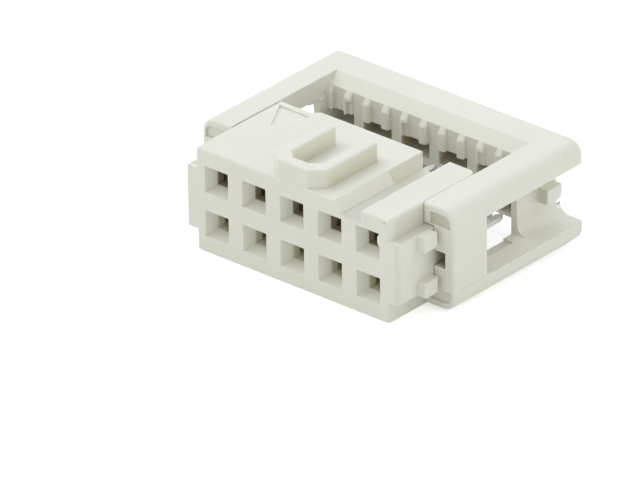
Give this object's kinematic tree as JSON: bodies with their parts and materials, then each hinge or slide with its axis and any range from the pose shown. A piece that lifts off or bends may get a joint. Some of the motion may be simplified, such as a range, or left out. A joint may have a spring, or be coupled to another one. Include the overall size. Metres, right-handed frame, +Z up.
{
  "type": "ribbon cable socket",
  "caption": "Ribbon-cable socket with square pin entries, a polarising key and its clamping cover standing open over slotted contacts.",
  "frame": {"origin": "centre of the mating face, midway between the two rows of pin entries", "axes": "+X along the rows, towards the way furthest from the pointed mark; +Y from the mating face towards the cable; +Z up, towards the polarising key"},
  "size_m": [0.0168, 0.013, 0.007],
  "materials": {
    "housing": "light warm grey moulded plastic, fine satin",
    "cover_plastic": "light warm grey moulded plastic, fine satin",
    "contact_metal": "tin-plated copper alloy sheet, silver grey"
  },
  "bodies": {
    "root": {"body": "housing", "cover": "cover_plastic", "contact_upper_1": "contact_metal", "contact_upper_2": "contact_metal", "contact_upper_3": "contact_metal", "contact_upper_4": "contact_metal", "contact_upper_5": "contact_metal", "contact_lower_1": "contact_metal", "contact_lower_2": "contact_metal", "contact_lower_3": "contact_metal", "contact_lower_4": "contact_metal", "contact_lower_5": "contact_metal"}
  },
  "joints": []
}
